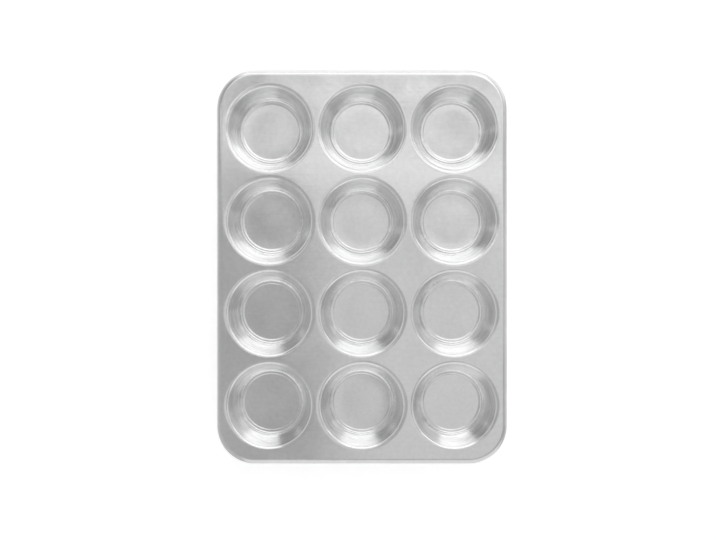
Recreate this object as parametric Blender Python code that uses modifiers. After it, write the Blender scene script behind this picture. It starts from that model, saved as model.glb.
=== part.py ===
"""A twelve-cup muffin pan: one pressed aluminium sheet, with a steel wire rolled into its rim.

Metres, +Z up. The pan stands on the flat undersides of its cups at Z = 0, centred on the Z axis,
with its three columns along X and its four rows along Y.
"""

import math

import bmesh
import bpy

# The sheet and the grid of cups
SHEET_THICKNESS = 0.0008
COLUMNS = 3
ROWS = 4
BRIDGE_WIDTH = 0.0014  # flat deck between the rolled edges of two neighbouring cups
SIDE_MARGIN = 0.00174  # flat deck between the outer columns and the rim
END_MARGIN = 0.00672  # flat deck between the end rows and the rim

# One cup, measured on the sheet's upper face
MOUTH_DIAMETER = 0.0764  # where the line of the wall meets the deck
MOUTH_ROLL = 0.0042  # radius of the rolled edge from the deck into the wall
CUP_DEPTH = 0.0320  # deck to floor
WALL_LEAN = 0.0104  # how far the wall comes in from the mouth to the foot
FOOT_FILLET = 0.0009  # radius between the wall and the ledge
LEDGE_WIDTH = 0.0013  # from the line of the wall to the step round the floor
STEP_DEPTH = 0.0003  # ledge to floor
STEP_RUN = 0.0012  # how far the step comes in

# The rim: the deck's edge bends down, goes round the wire and curls in under it
WIRE_DIAMETER = 0.0028
WIRE_CLEARANCE = 0.0003  # between the wire and the sheet round it
WIRE_END_GAP = 0.0015  # between the wire's two ends, at the middle of the rear side
RIM_BEND = 0.0080  # radius with which the deck bends down to the curl
RIM_SLOPE_ANGLE = 32.0  # degrees of that bend
CORNER_RADIUS = 0.0350  # outside of the rim, seen from above
CURL_END_ANGLE = -155.0  # degrees round the wire at which the sheet's edge stops, 0 being outwards

# Facets
CUP_SEGMENTS = 24
MOUTH_STEPS = 3
FOOT_STEPS = 2
CORNER_STEPS = 8
RIM_BEND_STEPS = 3
CURL_STEPS = 8
MERGE_DISTANCE = 0.00001

# Worked out from the sizes above
MOUTH_RADIUS = MOUTH_DIAMETER / 2
FOOT_RADIUS = MOUTH_RADIUS - WALL_LEAN
LEDGE_RADIUS = FOOT_RADIUS - LEDGE_WIDTH
FLOOR_RADIUS = LEDGE_RADIUS - STEP_RUN
WALL_TURN = math.atan2(CUP_DEPTH - STEP_DEPTH, WALL_LEAN)
SHOULDER_RADIUS = MOUTH_RADIUS + MOUTH_ROLL * math.tan(WALL_TURN / 2)
CUP_PITCH = 2 * SHOULDER_RADIUS + BRIDGE_WIDTH
DECK_HEIGHT = SHEET_THICKNESS + CUP_DEPTH

WIRE_RADIUS = WIRE_DIAMETER / 2
RIM_RADIUS = WIRE_RADIUS + WIRE_CLEARANCE + SHEET_THICKNESS
RIM_SLOPE = math.radians(RIM_SLOPE_ANGLE)
RIM_CENTRE_HEIGHT = DECK_HEIGHT - RIM_BEND + (RIM_BEND - RIM_RADIUS) * math.cos(RIM_SLOPE)
RIM_REACH = (RIM_BEND - RIM_RADIUS) * math.sin(RIM_SLOPE)  # edge of the deck to the wire's centre

WIRE_HALF_WIDTH = (COLUMNS - 1) / 2 * CUP_PITCH + SHOULDER_RADIUS + SIDE_MARGIN + RIM_REACH
WIRE_HALF_LENGTH = (ROWS - 1) / 2 * CUP_PITCH + SHOULDER_RADIUS + END_MARGIN + RIM_REACH
WIRE_CORNER_RADIUS = CORNER_RADIUS - RIM_RADIUS


def start_empty():
    """Removes every object, so that the script gives the same result wherever it runs."""
    for thing in list(bpy.data.objects):
        bpy.data.objects.remove(thing)


def new_collection(name):
    """A collection in the scene."""
    collection = bpy.data.collections.new(name)
    bpy.context.scene.collection.children.link(collection)
    return collection


def metal(name, colour, roughness):
    """A bare metal."""
    material = bpy.data.materials.new(name)
    material.use_nodes = True
    shader = material.node_tree.nodes["Principled BSDF"]
    shader.inputs["Base Color"].default_value = (*colour, 1.0)
    shader.inputs["Metallic"].default_value = 1.0
    shader.inputs["Roughness"].default_value = roughness
    return material


def arc(centre, radius, start, end, steps):
    """Points along an arc from one angle to another, both ends included."""
    angles = [start + (end - start) * i / steps for i in range(steps + 1)]
    return [
        (centre[0] + radius * math.cos(a), centre[1] + radius * math.sin(a)) for a in angles
    ]


def cup_profile():
    """Half of a cup's section as (radius, height) points, from the edge of the deck to the axis."""
    mouth_centre = (SHOULDER_RADIUS, DECK_HEIGHT - MOUTH_ROLL)
    upright = math.pi / 2
    ledge_height = SHEET_THICKNESS + STEP_DEPTH
    fillet_reach = FOOT_FILLET * math.tan(WALL_TURN / 2)
    foot_centre = (FOOT_RADIUS - fillet_reach, ledge_height + FOOT_FILLET)
    return [
        *arc(mouth_centre, MOUTH_ROLL, upright, upright + WALL_TURN, MOUTH_STEPS),
        *arc(foot_centre, FOOT_FILLET, WALL_TURN - upright, -upright, FOOT_STEPS),
        (LEDGE_RADIUS, ledge_height),
        (FLOOR_RADIUS, SHEET_THICKNESS),
        (0.0, SHEET_THICKNESS),
    ]


def rim_profile():
    """The rim's section as (outwards, up) points from the wire's centre, starting at the deck."""
    upright = math.pi / 2
    bend_centre = (-RIM_REACH, DECK_HEIGHT - RIM_BEND - RIM_CENTRE_HEIGHT)
    bend = arc(bend_centre, RIM_BEND, upright, upright - RIM_SLOPE, RIM_BEND_STEPS)
    end = math.radians(CURL_END_ANGLE)
    curl = arc((0.0, 0.0), RIM_RADIUS, upright - RIM_SLOPE, end, CURL_STEPS)
    return bend + curl[1:]


def wire_line():
    """The wire's centre line in plan: a rectangle with round corners, open at the rear side."""
    across = WIRE_HALF_WIDTH - WIRE_CORNER_RADIUS
    along = WIRE_HALF_LENGTH - WIRE_CORNER_RADIUS
    quarter = math.pi / 2
    corners = [(across, along), (across, -along), (-across, -along), (-across, along)]
    line = []
    for turn, corner in enumerate(corners):
        start = quarter * (1 - turn)
        line += arc(corner, WIRE_CORNER_RADIUS, start, start - quarter, CORNER_STEPS)
    return line


def poly_curve(name, points, closed):
    """A curve object through (x, y, z) points."""
    curve = bpy.data.curves.new(name, "CURVE")
    curve.dimensions = "3D"
    curve.twist_mode = "Z_UP"
    spline = curve.splines.new("POLY")
    spline.points.add(len(points) - 1)
    for point, place in zip(spline.points, points):
        point.co = (*place, 1.0)
    spline.use_cyclic_u = closed
    holder = bpy.data.objects.new(name, curve)
    bpy.context.scene.collection.objects.link(holder)
    return holder


def take_mesh(*holders):
    """The first object's evaluated mesh in world space. The objects are removed."""
    graph = bpy.context.evaluated_depsgraph_get()
    mesh = bpy.data.meshes.new_from_object(holders[0].evaluated_get(graph))
    mesh.transform(holders[0].matrix_world)
    for holder in holders:
        bpy.data.objects.remove(holder)
    return mesh


def cup_surface():
    """The upper face of one cup, centred on the Z axis."""
    profile = cup_profile()
    mesh = bpy.data.meshes.new("cup_profile")
    edges = [(i, i + 1) for i in range(len(profile) - 1)]
    mesh.from_pydata([(radius, 0.0, height) for radius, height in profile], edges, [])
    holder = bpy.data.objects.new("cup_surface", mesh)
    bpy.context.scene.collection.objects.link(holder)
    turned = holder.modifiers.new("turned", "SCREW")
    turned.steps = CUP_SEGMENTS
    turned.render_steps = CUP_SEGMENTS
    turned.use_merge_vertices = True
    turned.merge_threshold = MERGE_DISTANCE
    return take_mesh(holder)


def rim_surface():
    """The outer face of the rim, swept along the wire's centre line."""
    line = [(x, y, RIM_CENTRE_HEIGHT) for x, y in wire_line()]
    section = poly_curve("rim_section", [(-out, up, 0.0) for out, up in rim_profile()], closed=False)
    section.data.dimensions = "2D"
    path = poly_curve("rim_surface", line, closed=True)
    path.data.bevel_mode = "OBJECT"
    path.data.bevel_object = section
    return take_mesh(path, section)


def cup_centres():
    """The cups' axes in plan, row by row."""
    return [
        ((column - (COLUMNS - 1) / 2) * CUP_PITCH, (row - (ROWS - 1) / 2) * CUP_PITCH)
        for row in range(ROWS)
        for column in range(COLUMNS)
    ]


def sheet_surface():
    """The sheet's whole upper face: the cups and the rim, with the deck filled in between them."""
    shape = bmesh.new()
    shape.from_mesh(rim_surface())
    cup = cup_surface()
    for x, y in cup_centres():
        placed = cup.copy()
        for vertex in placed.vertices:
            vertex.co.x += x
            vertex.co.y += y
        shape.from_mesh(placed)
        bpy.data.meshes.remove(placed)
    bmesh.ops.remove_doubles(shape, verts=shape.verts, dist=MERGE_DISTANCE)
    deck_edges = [
        edge
        for edge in shape.edges
        if edge.is_boundary and all(abs(v.co.z - DECK_HEIGHT) < MERGE_DISTANCE for v in edge.verts)
    ]
    filled = bmesh.ops.triangle_fill(shape, use_beauty=True, edges=deck_edges, normal=(0, 0, 1))
    deck_faces = [piece for piece in filled["geom"] if isinstance(piece, bmesh.types.BMFace)]
    bmesh.ops.recalc_face_normals(shape, faces=shape.faces)
    if deck_faces[0].normal.z < 0:
        bmesh.ops.reverse_faces(shape, faces=shape.faces)
    mesh = bpy.data.meshes.new("pan_sheet")
    shape.to_mesh(mesh)
    shape.free()
    return mesh


def add_pan_sheet(collection, material):
    """The pressed sheet: deck, cups and rolled rim in one piece."""
    mesh = sheet_surface()
    mesh.shade_smooth()
    mesh.set_sharp_from_angle(angle=math.radians(40))
    mesh.materials.append(material)
    sheet = bpy.data.objects.new("pan_sheet", mesh)
    collection.objects.link(sheet)
    solid = sheet.modifiers.new("thickness", "SOLIDIFY")
    solid.thickness = SHEET_THICKNESS
    solid.offset = -1.0
    solid.use_even_offset = True
    return sheet


def add_rim_wire(collection, material):
    """The wire inside the rim: one length, bent round until its ends nearly meet."""
    half_gap = WIRE_END_GAP / 2
    rear = WIRE_HALF_LENGTH
    line = [(half_gap, rear), *wire_line(), (-half_gap, rear)]
    wire = poly_curve("rim_wire", [(x, y, 0.0) for x, y in line], closed=False)
    wire.location.z = RIM_CENTRE_HEIGHT
    wire.data.bevel_depth = WIRE_RADIUS
    wire.data.bevel_resolution = 2
    wire.data.use_fill_caps = True
    wire.data.materials.append(material)
    bpy.context.scene.collection.objects.unlink(wire)
    collection.objects.link(wire)
    return wire


def main():
    """Builds the pan."""
    start_empty()
    pan = new_collection("muffin_pan")
    aluminium = metal("bare_aluminium", (0.80, 0.80, 0.80), 0.35)
    steel = metal("galvanised_steel", (0.56, 0.57, 0.58), 0.45)
    add_pan_sheet(pan, aluminium)
    add_rim_wire(pan, steel)


main()
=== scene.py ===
"""The muffin pan's looks: a finely formed sheet and its rim wire, on a white floor in soft light.

The outline, the rim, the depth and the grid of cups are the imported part's, and each cup's wall and
bends are formed more finely. Sizes are in metres, +Z up.
"""

import math
import random

import bmesh
import bpy
from mathutils import Matrix, Vector, noise


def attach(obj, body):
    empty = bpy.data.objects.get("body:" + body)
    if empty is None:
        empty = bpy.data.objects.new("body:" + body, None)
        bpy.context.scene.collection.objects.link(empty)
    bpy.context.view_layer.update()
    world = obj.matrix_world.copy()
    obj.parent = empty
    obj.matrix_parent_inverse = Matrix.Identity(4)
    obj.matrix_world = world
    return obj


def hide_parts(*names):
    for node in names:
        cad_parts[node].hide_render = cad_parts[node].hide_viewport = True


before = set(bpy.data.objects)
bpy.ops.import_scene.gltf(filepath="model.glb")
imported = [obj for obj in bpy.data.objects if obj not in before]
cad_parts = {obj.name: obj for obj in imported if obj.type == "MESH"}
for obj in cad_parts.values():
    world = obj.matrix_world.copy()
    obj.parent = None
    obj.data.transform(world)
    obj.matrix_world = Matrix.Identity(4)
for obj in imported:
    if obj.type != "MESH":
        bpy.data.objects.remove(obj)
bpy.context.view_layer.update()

# The sheet and the grid of cups
SHEET_THICKNESS = 0.0008
COLUMNS = 3
ROWS = 4
CUP_PITCH = 0.083885
DECK_HALF_WIDTH = 0.126868
DECK_HALF_LENGTH = 0.173791

# One cup, on the sheet's upper face
MOUTH_RADIUS = 0.0380  # where the wall's line meets the deck's plane
MOUTH_ROLL = 0.0060
MOUTH_TURN = math.radians(40)  # from level, on the roll's own radius
MOUTH_CREASE = 0.0006  # tighter radius where the roll meets the wall
CUP_DEPTH = 0.0320
WALL_LEAN = 0.0089
FOOT_FILLET = 0.0024
FOOT_TURN = math.radians(38)
FOOT_CREASE = 0.0005
LEDGE_RADIUS = 0.0272
STEP_DEPTH = 0.00025
STEP_RUN = 0.0019
STEP_ROUNDING = 0.0008  # both edges of the step down to the floor

# The rim and the wire inside it
WIRE_DIAMETER = 0.0028
WIRE_CLEARANCE = 0.0003
WIRE_END_GAP = 0.0015
RIM_BEND = 0.0080
RIM_SLOPE = math.radians(32)
CORNER_RADIUS = 0.0350
CURL_END = math.radians(-155)  # round the wire, from straight out

# How far pressing has left the sheet from true
DECK_WAVE = 0.00022
DECK_WAVE_LENGTH = 0.085
DECK_WAVE_SLICE = 0.3  # where the level slice through the solid noise is taken
FLOOR_DISH = (0.00020, 0.00032)  # least and most rise of a floor's edge above its middle
FLOOR_DISH_POWER = 6
EDGE_LIFT = 0.00020  # of the deck at the rim
EDGE_LIFT_WIDTH = 0.0060
RIM_WAVE = 0.00012
RIM_WAVE_LENGTH = 0.016
RIM_WAVE_SLICE = 4.7
SEED = 12

# Finish of the metals
NOISE_MIDDLE = 0.5
NOISE_SPAN = (0.3, 0.7)  # of a pattern's value, over which the roughness changes
ALUMINIUM_DARK = (0.800, 0.802, 0.806, 1.0)
ALUMINIUM_PALE = (0.985, 0.986, 0.988, 1.0)
ALUMINIUM_ROUGHNESS = (0.14, 0.19)
CLOUD_SIZE = 0.040
RING_WIDTH = 0.0110  # of the widest rings round a wall
RING_SPREAD = 0.9
RING_HEIGHT = 0.00036
RING_TONE = 2.9  # how strongly the rings shade a wall, beside the clouds
GRAIN_WIDTH = 0.0009
GRAIN_LENGTH = 0.060
GRAIN_HEIGHT = 0.0000060
GRAIN_TONE = 0.3
PEEL_SIZE = 0.0035
PEEL_HEIGHT = 0.000012
PEEL_TONE = 0.45
ZINC_DARK = (0.46, 0.47, 0.49, 1.0)
ZINC_PALE = (0.64, 0.65, 0.66, 1.0)
ZINC_ROUGHNESS = (0.38, 0.55)
SPANGLE_SIZE = 0.004
PIT_SIZE = 0.0008
PIT_DEPTH = 0.00001

# Steps of the mesh
ROUND_STEPS = 112  # a multiple of 8, so that a spoke meets each corner of a cell
DECK_STEPS = 2
ROLL_STEPS = 6
CREASE_STEPS = 2
WALL_STEPS = 2
FOOT_STEPS = 3
STEP_STEPS = 3
FLOOR_STEPS = 7
RIM_BEND_STEPS = 5
CURL_STEPS = 13
WIRE_CORNER_STEPS = 24
WIRE_ROUND_STEPS = 6
MERGE_DISTANCE = 0.000002
SHARP_ANGLE = math.radians(40)
NEARLY_ZERO = 1e-9

# Worked out from the sizes above
UPRIGHT = math.pi / 2
FOOT_RADIUS = MOUTH_RADIUS - WALL_LEAN
FLOOR_RADIUS = LEDGE_RADIUS - STEP_RUN
WALL_TURN = math.atan2(CUP_DEPTH - STEP_DEPTH, WALL_LEAN)
DECK_HEIGHT = SHEET_THICKNESS + CUP_DEPTH

WIRE_RADIUS = WIRE_DIAMETER / 2
RIM_RADIUS = WIRE_RADIUS + WIRE_CLEARANCE + SHEET_THICKNESS
RIM_CENTRE_HEIGHT = DECK_HEIGHT - RIM_BEND + (RIM_BEND - RIM_RADIUS) * math.cos(RIM_SLOPE)
RIM_REACH = (RIM_BEND - RIM_RADIUS) * math.sin(RIM_SLOPE)

WIRE_CORNER_RADIUS = CORNER_RADIUS - RIM_RADIUS
DECK_CORNER_RADIUS = WIRE_CORNER_RADIUS - RIM_REACH
CORNER_X = DECK_HALF_WIDTH - DECK_CORNER_RADIUS  # centres of the corners' arcs
CORNER_Y = DECK_HALF_LENGTH - DECK_CORNER_RADIUS

# The camera, straight above and a little off the middle, with the picture framed beside its axis
CAMERA_X = -0.0171
CAMERA_Y = 0.0082
CAMERA_ABOVE_DECK = 1.07
PIXEL_SIZE = 0.000907  # of the deck's plane in the picture
PICTURE_WIDTH = 716
PICTURE_MIDDLE = (358.0, 270.0)
PAN_MIDDLE = (362.0, 267.0)  # where the pan's middle lies in the picture
SENSOR_WIDTH = 36.0

# The studio
FLOOR_SIZE = 6.0
FLOOR_GAP = 0.0003
WHITE = (1.0, 1.0, 1.0, 1.0)
FLOOR_COLOUR = (0.9, 0.9, 0.9, 1.0)
FLOOR_GLOW = 0.50
CEILING_LEVEL = 0.38
CEILING_TILT = (-0.06, -0.15, 0.0)  # how much paler it is towards each axis
CEILING_HEIGHTS = (0.50, 0.68)  # of a direction's upward part, between the walls and the ceiling
WALLS_LEVEL = 0.60
WALLS_TILT = (0.0, 0.10, 0.0)
HORIZON_HEIGHTS = (0.02, 0.12)  # of a direction's upward part, where the horizon's white ends
SOFTBOX_DISTANCE = 1.2
# Each soft light's azimuth from +X and angle from straight up, its width and depth, its turn and
# its strength, in degrees and metres
SOFTBOXES = {
    "main": (84.0, 34.0, 0.98, 0.75, 3.0, 0.56),
    "front": (286.0, 58.0, 1.45, 1.01, -12.0, 0.27),
    "left": (138.0, 16.0, 0.10, 1.17, 35.0, 0.34),
    "right": (11.0, 12.0, 0.93, 0.67, 2.0, 0.23),
    "back": (70.0, 53.0, 2.01, 0.89, -4.0, 0.43),
    "side": (5.0, 41.0, 1.12, 0.50, 60.0, 0.17),
}


def arc(centre, radius, start, end, steps):
    """Points along an arc from one angle to another, both ends included."""
    angles = [start + (end - start) * i / steps for i in range(steps + 1)]
    return [(centre[0] + radius * math.cos(a), centre[1] + radius * math.sin(a)) for a in angles]


def along(start, end, steps):
    """Points between two points, with neither end."""
    return [
        (start[0] + (end[0] - start[0]) * i / steps, start[1] + (end[1] - start[1]) * i / steps)
        for i in range(1, steps)
    ]


def bend(radius, turn, crease, steps, crease_steps):
    """Points (across, up) from level to the wall's lean, on a wide arc and then a tight one."""
    tight_centre = ((radius - crease) * math.sin(turn), radius - (radius - crease) * math.cos(turn))
    wide = arc((0.0, radius), radius, -UPRIGHT, turn - UPRIGHT, steps)
    tight = arc(tight_centre, crease, turn - UPRIGHT, WALL_TURN - UPRIGHT, crease_steps)
    return wide + tight[1:]


def reach(points):
    """How far a bend's start lies from where the wall's line meets the level it starts from."""
    across, up = points[-1]
    return across - up / math.tan(WALL_TURN)


# A cup's two bends, and the radii at which they start
MOUTH_BEND = bend(MOUTH_ROLL, MOUTH_TURN, MOUTH_CREASE, ROLL_STEPS, CREASE_STEPS)
FOOT_BEND = bend(FOOT_FILLET, FOOT_TURN, FOOT_CREASE, FOOT_STEPS, CREASE_STEPS)
SHOULDER_RADIUS = MOUTH_RADIUS + reach(MOUTH_BEND)
FOOT_START = FOOT_RADIUS - reach(FOOT_BEND)


def cup_profile():
    """A cup's half section as (radius, height) points, from the deck to near the axis."""
    ledge_height = SHEET_THICKNESS + STEP_DEPTH
    step_turn = math.atan2(STEP_DEPTH, STEP_RUN)
    step_tangent = STEP_ROUNDING * math.tan(step_turn / 2)
    edge_centre = (LEDGE_RADIUS + step_tangent, ledge_height - STEP_ROUNDING)
    inner_centre = (FLOOR_RADIUS - step_tangent, SHEET_THICKNESS + STEP_ROUNDING)

    mouth = [(SHOULDER_RADIUS - across, DECK_HEIGHT - down) for across, down in MOUTH_BEND]
    foot = [(FOOT_START + across, ledge_height + up) for across, up in reversed(FOOT_BEND)]
    edge = arc(edge_centre, STEP_ROUNDING, UPRIGHT, UPRIGHT + step_turn, STEP_STEPS)
    inner = arc(inner_centre, STEP_ROUNDING, step_turn - UPRIGHT, -UPRIGHT, STEP_STEPS)
    floor = along(inner[-1], (0.0, SHEET_THICKNESS), FLOOR_STEPS)
    return [*mouth, *along(mouth[-1], foot[0], WALL_STEPS), *foot, *edge, *inner, *floor]


def rim_profile():
    """The rim's section as (out from the deck's edge, height) points, without its first."""
    bend_centre = (0.0, DECK_HEIGHT - RIM_BEND)
    curl_centre = (RIM_REACH, RIM_CENTRE_HEIGHT)
    fall = arc(bend_centre, RIM_BEND, UPRIGHT, UPRIGHT - RIM_SLOPE, RIM_BEND_STEPS)
    curl = arc(curl_centre, RIM_RADIUS, UPRIGHT - RIM_SLOPE, CURL_END, CURL_STEPS)
    return fall[1:] + curl[1:]


def clamp(value, limit):
    """The value, held between minus and plus the limit."""
    return max(-limit, min(limit, value))


def outward(x, y):
    """The nearest point on the rectangle of corner centres, and the direction away from it."""
    foot = Vector((clamp(x, CORNER_X), clamp(y, CORNER_Y)))
    return foot, (Vector((x, y)) - foot).normalized()


def spoke_end(centre, angle):
    """Where a ray from a cup's axis meets the edge of its cell or of the deck."""
    across, up = math.cos(angle), math.sin(angle)
    half = CUP_PITCH / 2
    axes = ((across, centre[0], DECK_HALF_WIDTH), (up, centre[1], DECK_HALF_LENGTH))
    lengths = []
    for step, middle, edge in axes:
        if abs(step) > NEARLY_ZERO:
            room = edge - middle * math.copysign(1, step)
            is_outer = room < CUP_PITCH
            lengths.append((room if is_outer else half) / abs(step))
    end = min(lengths)
    x, y = centre[0] + across * end, centre[1] + up * end
    corner = Vector((math.copysign(CORNER_X, x), math.copysign(CORNER_Y, y)))
    if abs(x) > CORNER_X and abs(y) > CORNER_Y:
        away = Vector(centre) - corner
        ray = Vector((across, up))
        lean = away.dot(ray)
        end = -lean + math.sqrt(lean * lean - away.length_squared + DECK_CORNER_RADIUS ** 2)
        x, y = centre[0] + across * end, centre[1] + up * end
    return x, y


def cell_corners(centre):
    """The corners of a cup's cell, apart from a rounded one of the deck."""
    half = CUP_PITCH / 2
    corners = []
    for side_x in (-1, 1):
        for side_y in (-1, 1):
            room_x = DECK_HALF_WIDTH - centre[0] * side_x
            room_y = DECK_HALF_LENGTH - centre[1] * side_y
            outer = (room_x < CUP_PITCH, room_y < CUP_PITCH)
            if not all(outer):
                reach_x = room_x if outer[0] else half
                reach_y = room_y if outer[1] else half
                corners.append((centre[0] + side_x * reach_x, centre[1] + side_y * reach_y))
    return corners


def cell_outline(centre):
    """A cell's outline, one point for each spoke, with a spoke moved to each corner."""
    angles = [2 * math.pi * i / ROUND_STEPS for i in range(ROUND_STEPS)]
    points = [spoke_end(centre, angle) for angle in angles]
    for x, y in cell_corners(centre):
        turn = math.atan2(y - centre[1], x - centre[0]) / (2 * math.pi) * ROUND_STEPS
        points[round(turn) % ROUND_STEPS] = (x, y)
    return points


def cup_centres():
    """The cups' axes in plan."""
    return [
        ((column - (COLUMNS - 1) / 2) * CUP_PITCH, (row - (ROWS - 1) / 2) * CUP_PITCH)
        for row in range(ROWS)
        for column in range(COLUMNS)
    ]


def add_cell(shape, centre, dish):
    """Adds one cup and the deck round it to the sheet's upper face."""
    spokes = [
        (math.cos(2 * math.pi * i / ROUND_STEPS), math.sin(2 * math.pi * i / ROUND_STEPS))
        for i in range(ROUND_STEPS)
    ]
    outline = cell_outline(centre)
    rings = []
    for step in range(DECK_STEPS):
        share = step / DECK_STEPS
        ring = []
        for (out_x, out_y), (across, up) in zip(outline, spokes):
            in_x, in_y = centre[0] + SHOULDER_RADIUS * across, centre[1] + SHOULDER_RADIUS * up
            place = (out_x + (in_x - out_x) * share, out_y + (in_y - out_y) * share, DECK_HEIGHT)
            ring.append(shape.verts.new(place))
        rings.append(ring)
    for radius, height in cup_profile():
        depth_share = (DECK_HEIGHT - height) / CUP_DEPTH
        lift = dish * min(1.0, radius / FLOOR_RADIUS) ** FLOOR_DISH_POWER * depth_share
        rings.append([
            shape.verts.new((centre[0] + radius * across, centre[1] + radius * up, height + lift))
            for across, up in spokes
        ])
    middle = shape.verts.new((*centre, SHEET_THICKNESS))
    for outer, inner in zip(rings, rings[1:]):
        for i in range(ROUND_STEPS):
            j = (i + 1) % ROUND_STEPS
            shape.faces.new((outer[i], outer[j], inner[j], inner[i]))
    for i in range(ROUND_STEPS):
        shape.faces.new((rings[-1][i], rings[-1][(i + 1) % ROUND_STEPS], middle))


def add_rim(shape):
    """Extrudes the edge of the deck along the rim's section."""
    edges = [edge for edge in shape.edges if edge.is_boundary]
    for out, height in rim_profile():
        made = bmesh.ops.extrude_edge_only(shape, edges=edges)["geom"]
        edges = [thing for thing in made if isinstance(thing, bmesh.types.BMEdge)]
        for vertex in (thing for thing in made if isinstance(thing, bmesh.types.BMVert)):
            foot, away = outward(vertex.co.x, vertex.co.y)
            place = foot + away * (DECK_CORNER_RADIUS + out)
            vertex.co = (*place, height)


def unsettle(shape):
    """Moves the sheet a little from true, as pressing leaves it. The cups' feet stay in place."""
    for vertex in shape.verts:
        place = vertex.co / DECK_WAVE_LENGTH
        height_share = max(0.0, vertex.co.z / DECK_HEIGHT) ** 2
        wave = noise.noise(Vector((place.x, place.y, DECK_WAVE_SLICE)))
        lift = DECK_WAVE * wave * height_share
        foot, away = outward(vertex.co.x, vertex.co.y)
        beyond = (vertex.co.xy - foot).length - DECK_CORNER_RADIUS
        edge_share = clamp(1 + beyond / EDGE_LIFT_WIDTH, 1.0)
        if edge_share > 0 and vertex.co.z > DECK_HEIGHT / 2:
            lift += EDGE_LIFT * edge_share ** 2
        if beyond > 0:
            fine = vertex.co / RIM_WAVE_LENGTH
            ripple = noise.noise(Vector((fine.x, fine.y, RIM_WAVE_SLICE)))
            amount = RIM_WAVE * ripple * min(1.0, beyond / RIM_REACH)
            vertex.co.x += away.x * amount
            vertex.co.y += away.y * amount
        vertex.co.z += lift


def modified(mesh, kind, **settings):
    """A mesh as one modifier leaves it."""
    holder = bpy.data.objects.new("holder", mesh)
    bpy.context.scene.collection.objects.link(holder)
    modifier = holder.modifiers.new("modifier", kind)
    for name, value in settings.items():
        setattr(modifier, name, value)
    graph = bpy.context.evaluated_depsgraph_get()
    made = bpy.data.meshes.new_from_object(holder.evaluated_get(graph))
    bpy.data.objects.remove(holder)
    return made


def add_sheet(material):
    """The pressed sheet: deck, cups and rolled rim in one closed mesh."""
    chance = random.Random(SEED)
    shape = bmesh.new()
    for centre in cup_centres():
        add_cell(shape, centre, chance.uniform(*FLOOR_DISH))
    bmesh.ops.remove_doubles(shape, verts=shape.verts, dist=MERGE_DISTANCE)
    add_rim(shape)
    unsettle(shape)
    bmesh.ops.recalc_face_normals(shape, faces=shape.faces)
    highest = max(shape.faces, key=lambda face: face.calc_center_median().z)
    if highest.normal.z < 0:
        bmesh.ops.reverse_faces(shape, faces=shape.faces)
    face = bpy.data.meshes.new("sheet_face")
    shape.to_mesh(face)
    shape.free()
    downwards = {"thickness": SHEET_THICKNESS, "offset": -1.0, "use_even_offset": True}
    closed = modified(face, "SOLIDIFY", **downwards)
    closed.shade_smooth()
    closed.set_sharp_from_angle(angle=SHARP_ANGLE)
    mesh = modified(closed, "WEIGHTED_NORMAL", mode="FACE_AREA", keep_sharp=True)
    mesh.name = "pressed_sheet"
    mesh.materials.clear()
    mesh.materials.append(material)
    sheet = bpy.data.objects.new("pressed_sheet", mesh)
    bpy.context.scene.collection.objects.link(sheet)
    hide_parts("pan_sheet")
    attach(sheet, "root")
    return sheet


def wire_line():
    """The wire's centre line in plan, from the rear side's middle to the right and round."""
    corners = [
        (CORNER_X, CORNER_Y),
        (CORNER_X, -CORNER_Y),
        (-CORNER_X, -CORNER_Y),
        (-CORNER_X, CORNER_Y),
    ]
    rear = CORNER_Y + WIRE_CORNER_RADIUS
    line = [(WIRE_END_GAP / 2, rear)]
    for turn, corner in enumerate(corners):
        start = UPRIGHT * (1 - turn)
        line += arc(corner, WIRE_CORNER_RADIUS, start, start - UPRIGHT, WIRE_CORNER_STEPS)
    return line + [(-WIRE_END_GAP / 2, rear)]


def add_wire(material):
    """The wire inside the rim."""
    curve = bpy.data.curves.new("wire_in_rim", "CURVE")
    curve.dimensions = "3D"
    curve.bevel_depth = WIRE_RADIUS
    curve.bevel_resolution = WIRE_ROUND_STEPS
    curve.use_fill_caps = True
    spline = curve.splines.new("POLY")
    line = wire_line()
    spline.points.add(len(line) - 1)
    for point, (x, y) in zip(spline.points, line):
        point.co = (x, y, RIM_CENTRE_HEIGHT, 1.0)
    curve.materials.append(material)
    wire = bpy.data.objects.new("wire_in_rim", curve)
    bpy.context.scene.collection.objects.link(wire)
    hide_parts("rim_wire")
    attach(wire, "root")
    return wire


def new_node(tree, kind, inputs=(), **settings):
    """A node with its settings made and its first inputs set, or linked where they are sockets."""
    node = tree.nodes.new(kind)
    for name, value in settings.items():
        setattr(node, name, value)
    for socket, value in zip(node.inputs, inputs):
        if isinstance(value, bpy.types.NodeSocket):
            tree.links.new(value, socket)
        else:
            socket.default_value = value
    return node


def calc(tree, operation, *values):
    """The result of a sum on numbers or sockets."""
    return new_node(tree, "ShaderNodeMath", values, operation=operation).outputs[0]


def vector_sum(tree, operation, *values):
    """The result of a sum on vectors."""
    node = new_node(tree, "ShaderNodeVectorMath", values, operation=operation)
    return node.outputs["Value" if operation in ("LENGTH", "DOT_PRODUCT") else "Vector"]


def vector(tree, x, y, z):
    """A vector made of three numbers."""
    return new_node(tree, "ShaderNodeCombineXYZ", (x, y, z)).outputs[0]


def ranged(tree, value, source, target):
    """A value taken smoothly from one range to another, and held at its ends."""
    inputs = (value, *source, *target)
    return new_node(tree, "ShaderNodeMapRange", inputs, interpolation_type="SMOOTHSTEP").outputs[0]


def pattern(tree, place, sizes, detail=2.0, spread=0.5):
    """Smooth noise about 0.5, whose largest cells have these sizes along X, Y and Z."""
    counted = vector_sum(tree, "MULTIPLY", place, [1 / size for size in sizes])
    node = tree.nodes.new("ShaderNodeTexNoise")
    tree.links.new(counted, node.inputs["Vector"])
    node.inputs["Scale"].default_value = 1.0
    node.inputs["Detail"].default_value = detail
    node.inputs["Roughness"].default_value = spread
    return node.outputs[0]


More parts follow.
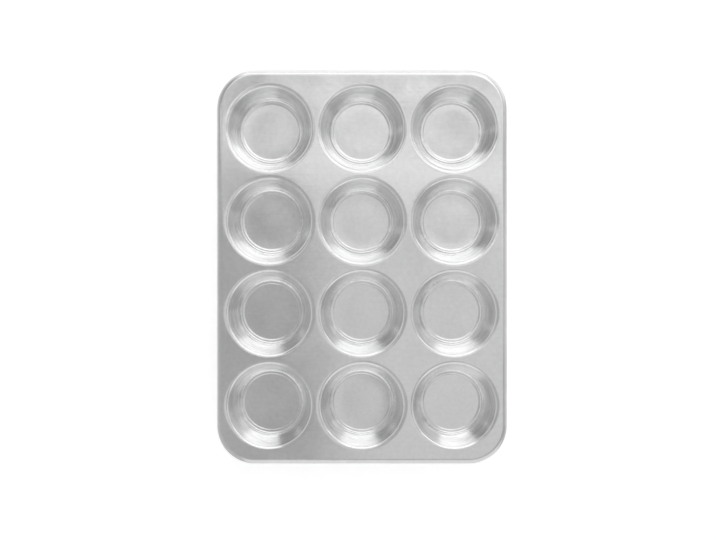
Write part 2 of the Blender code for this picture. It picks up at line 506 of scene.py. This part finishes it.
def two_tones(tree, value, dark, pale):
    """A colour between two greys."""
    node = new_node(tree, "ShaderNodeValToRGB", (value,))
    node.color_ramp.elements[0].color = dark
    node.color_ramp.elements[1].color = pale
    return node.outputs["Color"]


def swing(tree, noise_value):
    """How far a pattern's value lies from its middle."""
    return calc(tree, "SUBTRACT", noise_value, NOISE_MIDDLE)


def relief(tree, height):
    """A normal that follows a height in metres."""
    bump = tree.nodes.new("ShaderNodeBump")
    bump.inputs["Strength"].default_value = 1.0
    bump.inputs["Distance"].default_value = 1.0
    tree.links.new(height, bump.inputs["Height"])
    return bump.outputs["Normal"]


def bare_metal(name):
    """A metal's material with its tree, its shader and the place on the object."""
    material = bpy.data.materials.new(name)
    material.use_nodes = True
    tree = material.node_tree
    shader = tree.nodes["Principled BSDF"]
    shader.inputs["Metallic"].default_value = 1.0
    place = tree.nodes.new("ShaderNodeTexCoord").outputs["Object"]
    return material, tree, shader, place


def own_cup(tree, distance, count):
    """The number of a point's own cup in a row, and the distance from that cup's middle."""
    half = (count - 1) / 2
    nearest = calc(tree, "ROUND", calc(tree, "MULTIPLY_ADD", distance, 1 / CUP_PITCH, half))
    number = calc(tree, "MINIMUM", calc(tree, "MAXIMUM", nearest, 0.0), count - 1.0)
    middle = calc(tree, "MULTIPLY_ADD", number, CUP_PITCH, -half * CUP_PITCH)
    return number, calc(tree, "SUBTRACT", distance, middle)


def drawn_aluminium():
    """Bare aluminium: rolled grain on the flats, and rings left by drawing on the cups' walls."""
    material, tree, shader, place = bare_metal("drawn_aluminium")
    x, y, z = new_node(tree, "ShaderNodeSeparateXYZ", (place,)).outputs
    column, across = own_cup(tree, x, COLUMNS)
    row, up = own_cup(tree, y, ROWS)
    number = calc(tree, "MULTIPLY_ADD", row, COLUMNS, column)
    from_axis = vector(tree, across, up, 0.0)
    radius = vector_sum(tree, "LENGTH", from_axis)
    direction = vector_sum(tree, "NORMALIZE", from_axis)

    in_cup = ranged(tree, radius, (MOUTH_RADIUS, SHOULDER_RADIUS), (1.0, 0.0))
    off_floor = ranged(tree, radius, (FLOOR_RADIUS, LEDGE_RADIUS), (0.0, 1.0))
    on_wall = calc(tree, "MULTIPLY", in_cup, off_floor)

    down_wall = calc(tree, "ADD", z, radius)
    shift = vector(tree, number, number, down_wall)
    ring_place = vector_sum(tree, "ADD", direction, shift)
    ring_sizes = (RING_SPREAD, RING_SPREAD, RING_WIDTH)
    grain_sizes = (GRAIN_LENGTH, GRAIN_WIDTH, GRAIN_LENGTH)
    rings = pattern(tree, ring_place, ring_sizes, detail=4.0, spread=0.6)
    grain = pattern(tree, place, grain_sizes)
    clouds = pattern(tree, place, (CLOUD_SIZE,) * 3, detail=4.0, spread=0.55)
    peel = pattern(tree, place, (PEEL_SIZE,) * 3, detail=1.0)

    ring_relief = ranged(tree, on_wall, (0.0, 1.0), (0.0, RING_HEIGHT))
    grain_relief = ranged(tree, on_wall, (0.0, 1.0), (GRAIN_HEIGHT, 0.0))
    ring_height = calc(tree, "MULTIPLY", rings, ring_relief)
    grain_height = calc(tree, "MULTIPLY", grain, grain_relief)
    height = calc(tree, "ADD", ring_height, grain_height)
    height = calc(tree, "MULTIPLY_ADD", peel, PEEL_HEIGHT, height)

    ring_shade = calc(tree, "MULTIPLY", swing(tree, rings), on_wall)
    tone = calc(tree, "MULTIPLY_ADD", ring_shade, RING_TONE, clouds)
    tone = calc(tree, "MULTIPLY_ADD", swing(tree, grain), GRAIN_TONE, tone)
    tone = calc(tree, "MULTIPLY_ADD", swing(tree, peel), PEEL_TONE, tone)
    colour = two_tones(tree, tone, ALUMINIUM_DARK, ALUMINIUM_PALE)
    roughness = ranged(tree, clouds, NOISE_SPAN, ALUMINIUM_ROUGHNESS)
    tree.links.new(relief(tree, height), shader.inputs["Normal"])
    tree.links.new(colour, shader.inputs["Base Color"])
    tree.links.new(roughness, shader.inputs["Roughness"])
    return material


def galvanised_wire():
    """Galvanised steel with a dull, spangled coat."""
    material, tree, shader, place = bare_metal("galvanised_wire")
    spangle = pattern(tree, place, (SPANGLE_SIZE,) * 3, detail=3.0, spread=0.7)
    pits = pattern(tree, place, (PIT_SIZE,) * 3)
    height = calc(tree, "MULTIPLY", pits, PIT_DEPTH)
    colour = two_tones(tree, spangle, ZINC_DARK, ZINC_PALE)
    roughness = ranged(tree, spangle, NOISE_SPAN, ZINC_ROUGHNESS)
    tree.links.new(relief(tree, height), shader.inputs["Normal"])
    tree.links.new(colour, shader.inputs["Base Color"])
    tree.links.new(roughness, shader.inputs["Roughness"])
    return material


def add_camera():
    """A camera straight above the pan, framed as the picture is."""
    camera = bpy.data.cameras.new("camera")
    focal_pixels = CAMERA_ABOVE_DECK / PIXEL_SIZE
    camera.sensor_width = SENSOR_WIDTH
    camera.lens = SENSOR_WIDTH * focal_pixels / PICTURE_WIDTH
    axis_x = PAN_MIDDLE[0] + CAMERA_X / PIXEL_SIZE
    axis_y = PAN_MIDDLE[1] - CAMERA_Y / PIXEL_SIZE
    camera.shift_x = (PICTURE_MIDDLE[0] - axis_x) / PICTURE_WIDTH
    camera.shift_y = (axis_y - PICTURE_MIDDLE[1]) / PICTURE_WIDTH
    holder = bpy.data.objects.new("camera", camera)
    holder.location = (CAMERA_X, CAMERA_Y, DECK_HEIGHT + CAMERA_ABOVE_DECK)
    bpy.context.scene.collection.objects.link(holder)
    bpy.context.scene.camera = holder


def add_floor():
    """A white floor. Metal sees it as white as the camera does, and it keeps the pan's shadow."""
    bpy.ops.mesh.primitive_plane_add(size=FLOOR_SIZE, location=(0.0, 0.0, -FLOOR_GAP))
    floor = bpy.context.object
    floor.name = "floor"
    material = bpy.data.materials.new("white_floor")
    material.use_nodes = True
    tree = material.node_tree
    tree.nodes.clear()
    lit = new_node(tree, "ShaderNodeBsdfDiffuse", (FLOOR_COLOUR,)).outputs[0]
    rays = tree.nodes.new("ShaderNodeLightPath").outputs
    seen = calc(tree, "MAXIMUM", rays["Is Camera Ray"], rays["Is Glossy Ray"])
    seen = calc(tree, "MAXIMUM", seen, rays["Is Transmission Ray"])
    glow = calc(tree, "MULTIPLY", seen, FLOOR_GLOW)
    white = new_node(tree, "ShaderNodeEmission", (WHITE, glow)).outputs[0]
    both = new_node(tree, "ShaderNodeAddShader", (lit, white)).outputs[0]
    new_node(tree, "ShaderNodeOutputMaterial", (both,))
    floor.data.materials.append(material)


def add_softbox(name, azimuth, polar, width, depth, turn, strength):
    """A rectangular soft light that faces the pan. Its strength is how bright it looks."""
    around, down = math.radians(azimuth), math.radians(polar)
    away = Vector((
        math.sin(down) * math.cos(around),
        math.sin(down) * math.sin(around),
        math.cos(down),
    ))
    side = Vector((-math.sin(around), math.cos(around), 0.0))
    lamp = bpy.data.lights.new(name, "AREA")
    lamp.shape = "RECTANGLE"
    lamp.size = width
    lamp.size_y = depth
    lamp.energy = strength * math.pi * width * depth
    box = bpy.data.objects.new(name, lamp)
    facing = Matrix((side, away.cross(side), away)).transposed()
    box.matrix_world = (
        Matrix.Translation(away * SOFTBOX_DISTANCE + Vector((0.0, 0.0, DECK_HEIGHT)))
        @ facing.to_4x4()
        @ Matrix.Rotation(math.radians(turn), 4, "Z")
    )
    bpy.context.scene.collection.objects.link(box)


def add_world():
    """A grey ceiling over paler walls and a white horizon, with some sides paler than others."""
    world = bpy.data.worlds.new("studio")
    world.use_nodes = True
    tree = world.node_tree
    back = tree.nodes["Background"]
    place = tree.nodes.new("ShaderNodeTexCoord").outputs["Generated"]
    height = new_node(tree, "ShaderNodeSeparateXYZ", (place,)).outputs["Z"]
    ceiling = calc(tree, "ADD", vector_sum(tree, "DOT_PRODUCT", place, CEILING_TILT), CEILING_LEVEL)
    walls = calc(tree, "ADD", vector_sum(tree, "DOT_PRODUCT", place, WALLS_TILT), WALLS_LEVEL)
    room = ranged(tree, height, CEILING_HEIGHTS, (walls, ceiling))
    level = ranged(tree, height, HORIZON_HEIGHTS, (1.0, room))
    tree.links.new(level, back.inputs["Color"])
    bpy.context.scene.world = world


add_sheet(drawn_aluminium())
add_wire(galvanised_wire())
add_floor()
for name, values in SOFTBOXES.items():
    add_softbox(name, *values)
add_world()
add_camera()
bpy.context.scene.view_settings.view_transform = "Standard"
